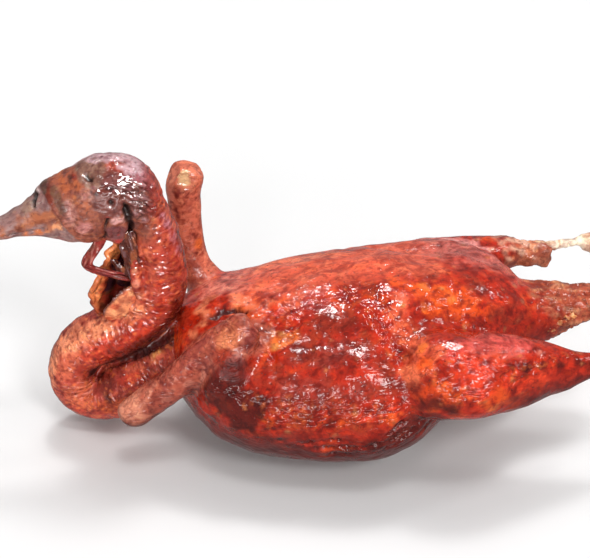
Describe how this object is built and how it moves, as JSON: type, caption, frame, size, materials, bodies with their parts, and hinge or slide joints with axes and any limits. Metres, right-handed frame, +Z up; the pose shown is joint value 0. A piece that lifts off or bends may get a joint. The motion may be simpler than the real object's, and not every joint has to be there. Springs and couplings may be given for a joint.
{
  "type": "roast duck",
  "caption": "Whole roast duck lying on its back, with the head and neck on, folded wings, and bared shank bones at the ends of the legs.",
  "frame": {"origin": "middle of the bounding box in plan, at the level the back rests on", "axes": "+X towards the tail and the leg ends, -X towards the bill, +Z up from the back to the breast, +Y towards the duck's far side, the side away from the wing that is folded over its front"},
  "size_m": [0.4094, 0.1707, 0.1989],
  "materials": {
    "roast_skin": "sticky red-brown glaze over roast skin, glossy, with orange patches and spice",
    "head_skin": "dry brownish-pink skin with a thin glaze",
    "bone": "bared cream bone",
    "windpipe": "dark red, ringed and moist",
    "spice": "dark dry specks of spice"
  },
  "bodies": {
    "root": {"roast_duck": "roast_skin"}
  },
  "joints": []
}
